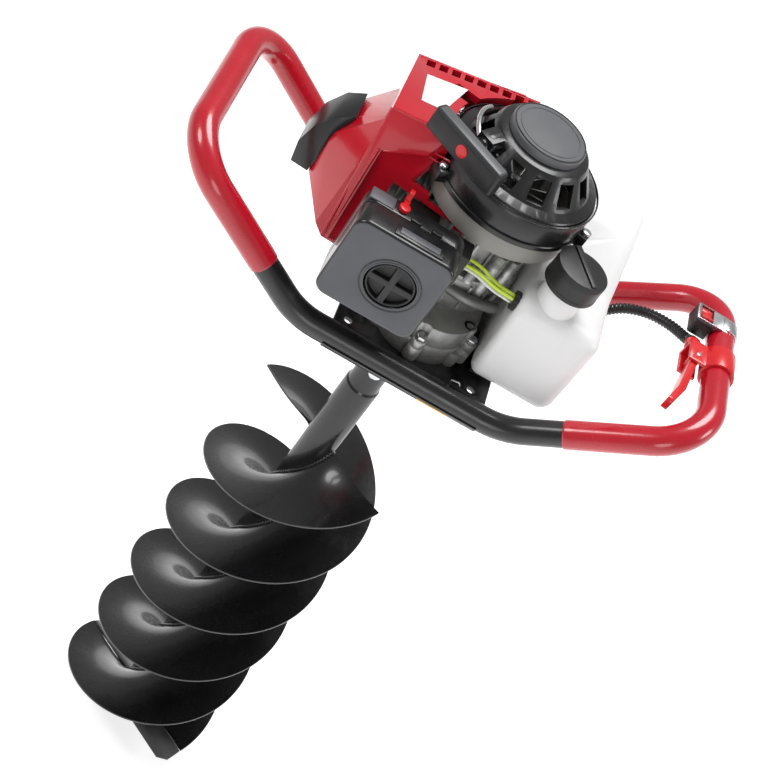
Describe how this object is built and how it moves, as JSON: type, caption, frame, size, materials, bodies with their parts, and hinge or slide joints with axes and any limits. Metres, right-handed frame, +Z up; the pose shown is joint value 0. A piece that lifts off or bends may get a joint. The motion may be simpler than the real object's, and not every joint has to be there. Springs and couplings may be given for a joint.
{
  "type": "ice fishing auger",
  "caption": "Petrol ice auger: two-hand tube frame, two-stroke power head with reduction gearbox, and a double-flighted ice bit.",
  "frame": {"origin": "tip of the pilot point, on the drive axis", "axes": "+Z up the drive axis to the recoil starter, +X along the handlebar to the grip with the throttle, -Y to the air filter"},
  "size_m": [0.5504, 0.2567, 1.0286],
  "materials": {
    "frame_black": "satin black paint",
    "grip_red": "glossy red dip",
    "plate_black": "satin black paint",
    "steel": "machined",
    "zinc": "bright zinc plate",
    "casting": "as cast, shot blasted",
    "cover_red": "gloss red moulding",
    "plastic_black": "black moulded plastic",
    "plastic_grey": "dark grey moulded plastic",
    "tank_white": "translucent white blow moulding",
    "red_plastic": "red moulding",
    "rubber": "black rubber",
    "hose": "yellow-green fuel hose",
    "foam": "open-cell foam",
    "rope": "braided cord",
    "bit_black": "gloss black paint",
    "primer": "clear soft moulding",
    "muffler_steel": "heat-tinted steel"
  },
  "bodies": {
    "root": {"handle_frame": "frame_black", "left_grip": "grip_red", "right_grip": "grip_red", "base_plate": "plate_black", "bolts": "zinc", "gearbox_case": "casting", "gearbox_cover": "casting", "shaft_bearings": "steel", "clutch_housing": "casting", "crankcase": "casting", "cylinder": "casting", "piston": "casting", "spark_plug": "steel", "plug_boot": "rubber", "plug_lead": "rubber", "fan_housing": "casting", "ignition_coil": "plastic_black", "muffler": "muffler_steel", "muffler_guard": "plate_black", "carburettor": "casting", "filter_base": "plastic_grey", "filter_element": "foam", "engine_cover": "cover_red", "plug_cover": "plastic_black", "starter_housing": "plastic_black", "starter_cap": "plastic_grey", "recoil_spring": "steel", "fuel_tank": "tank_white", "tank_bracket": "plate_black", "fuel_lines": "hose", "throttle_bracket": "red_plastic", "lever_pin": "zinc", "switch_bracket": "zinc", "kill_switch": "plastic_black", "cable_conduit": "rubber"},
    "bit": {"output_shaft": "steel", "output_gear": "steel", "auger_tube": "bit_black", "coupling_pin": "zinc", "flight_a": "bit_black", "flight_b": "bit_black", "cutting_blades": "steel", "pilot_point": "steel"},
    "layshaft_body": {"layshaft": "steel"},
    "drum": {"clutch_drum": "steel"},
    "crank": {"crankshaft": "steel", "flywheel": "casting", "clutch_shoes": "steel"},
    "pull_handle": {"starter_handle": "plastic_black", "starter_rope": "rope"},
    "pulley": {"starter_pulley": "plastic_black"},
    "trigger": {"throttle_lever": "red_plastic"},
    "carb_arm": {"throttle_arm": "zinc"},
    "rocker": {"switch_rocker": "red_plastic"},
    "choke": {"choke_lever": "red_plastic"},
    "filter_door": {"filter_cover": "plastic_grey"},
    "door_knob": {"filter_knob": "plastic_black"},
    "cap_seal": {"cap_gasket": "rubber"},
    "cap": {"fuel_cap": "plastic_black"},
    "primer": {"primer_bulb": "primer"}
  },
  "joints": [
    {"name": "auger_spin", "type": "hinge", "parent": "root", "child": "bit", "pos_m": [0, 0, 0.8], "axis": [0, 0, 1], "continuous": true},
    {"name": "layshaft_spin", "type": "hinge", "parent": "root", "child": "layshaft_body", "pos_m": [0, -0.042, 0.82], "axis": [0, 0, 1], "continuous": true},
    {"name": "drum_spin", "type": "hinge", "parent": "root", "child": "drum", "pos_m": [0, 0, 0.85], "axis": [0, 0, 1], "continuous": true},
    {"name": "crankshaft_spin", "type": "hinge", "parent": "root", "child": "crank", "pos_m": [0, 0, 0.91], "axis": [0, 0, 1], "continuous": true},
    {"name": "starter_pull", "type": "slide", "parent": "root", "child": "pull_handle", "axis": [-0.5299, -0.848, 0], "range_m": [0, 0.6]},
    {"name": "pulley_spin", "type": "hinge", "parent": "root", "child": "pulley", "pos_m": [0, 0, 1.008], "axis": [0, 0, 1], "range_deg": [0, 1720]},
    {"name": "throttle_squeeze", "type": "hinge", "parent": "root", "child": "trigger", "pos_m": [0.236, -0.004, 0.9], "axis": [0, 0, 1], "range_deg": [0, 11], "stiffness_Nm_per_rad": 1.2, "springref_deg": -5.73},
    {"name": "throttle_arm_turn", "type": "hinge", "parent": "root", "child": "carb_arm", "pos_m": [-0.072, -0.069, 0.926], "axis": [0, 0, -1], "range_deg": [0, 66]},
    {"name": "switch_rock", "type": "hinge", "parent": "root", "child": "rocker", "pos_m": [0.2355, 0.05, 0.915], "axis": [1, 0, 0], "range_deg": [0, 20]},
    {"name": "choke_swing", "type": "hinge", "parent": "root", "child": "choke", "pos_m": [-0.08, -0.097, 0.95], "axis": [0, 0, -1], "range_deg": [0, 60]},
    {"name": "filter_cover_off", "type": "slide", "parent": "root", "child": "filter_door", "axis": [0, -1, 0], "range_m": [0, 0.06]},
    {"name": "filter_knob_turn", "type": "hinge", "parent": "filter_door", "child": "door_knob", "pos_m": [-0.058, -0.13, 0.903], "axis": [0, 1, 0], "range_deg": [0, 90]},
    {"name": "fuel_cap_rise", "type": "slide", "parent": "root", "child": "cap_seal", "axis": [0, 0, 1], "range_m": [0, 0.03]},
    {"name": "fuel_cap_turn", "type": "hinge", "parent": "cap_seal", "child": "cap", "pos_m": [0.084, -0.057, 0.95], "axis": [0, 0, 1], "range_deg": [0, 720]},
    {"name": "primer_press", "type": "slide", "parent": "root", "child": "primer", "axis": [0, 0, 1], "range_m": [0, 0.005], "stiffness_N_per_m": 400, "springref_m": -0.002}
  ],
  "couplings": [
    {"joint": "layshaft_spin", "follows": "auger_spin", "ratio": -3.6667},
    {"joint": "drum_spin", "follows": "auger_spin", "ratio": 22},
    {"joint": "pulley_spin", "follows": "starter_pull", "rad_per_m": 50},
    {"joint": "throttle_arm_turn", "follows": "throttle_squeeze", "ratio": 6},
    {"joint": "fuel_cap_turn", "follows": "fuel_cap_rise", "rad_per_m": 418.88}
  ]
}
